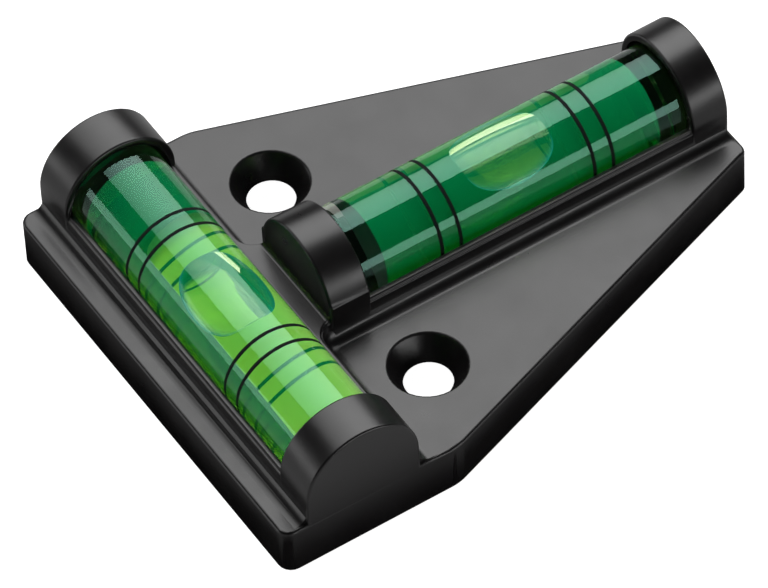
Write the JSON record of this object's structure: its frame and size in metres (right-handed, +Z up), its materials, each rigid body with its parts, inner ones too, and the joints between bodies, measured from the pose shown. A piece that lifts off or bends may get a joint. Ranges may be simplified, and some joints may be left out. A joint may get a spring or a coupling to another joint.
{
  "type": "magnetic cross level",
  "caption": "Flat tapered plastic housing with a cross vial and a stem vial at right angles under arched hoods, countersunk screw holes, and magnets in its resting face.",
  "frame": {"origin": "centre of the bounding box in plan, on the plane of the resting face", "axes": "+X along the cross vial, +Y along the stem vial towards the narrow end, +Z up from the resting face"},
  "size_m": [0.0536, 0.07, 0.0162],
  "materials": {
    "black_plastic": "satin moulded black plastic",
    "clear_acrylic": "polished clear acrylic with black printed rings",
    "green_liquid": "clear green vial liquid",
    "vial_air": "air bubble in the liquid",
    "nickel_plate": "bright nickel plating"
  },
  "bodies": {
    "level_body": {"housing": "black_plastic", "cross_vial_tube": "clear_acrylic", "cross_vial_plug": "clear_acrylic", "cross_vial_liquid": "green_liquid", "stem_vial_tube": "clear_acrylic", "stem_vial_plug": "clear_acrylic", "stem_vial_liquid": "green_liquid", "magnet_front_left": "nickel_plate", "magnet_front_right": "nickel_plate", "magnet_tip_left": "nickel_plate", "magnet_tip_right": "nickel_plate"},
    "cross_bubble": {"cross_vial_bubble": "vial_air"},
    "stem_bubble": {"stem_vial_bubble": "vial_air"}
  },
  "joints": [
    {"name": "cross_bubble_slide", "type": "slide", "parent": "level_body", "child": "cross_bubble", "axis": [1, 0, 0], "range_m": [-0.0114, 0.0114], "deforming": ["cross_vial_liquid"]},
    {"name": "stem_bubble_slide", "type": "slide", "parent": "level_body", "child": "stem_bubble", "axis": [0, 1, 0], "range_m": [-0.0114, 0.0114], "deforming": ["stem_vial_liquid"]}
  ]
}
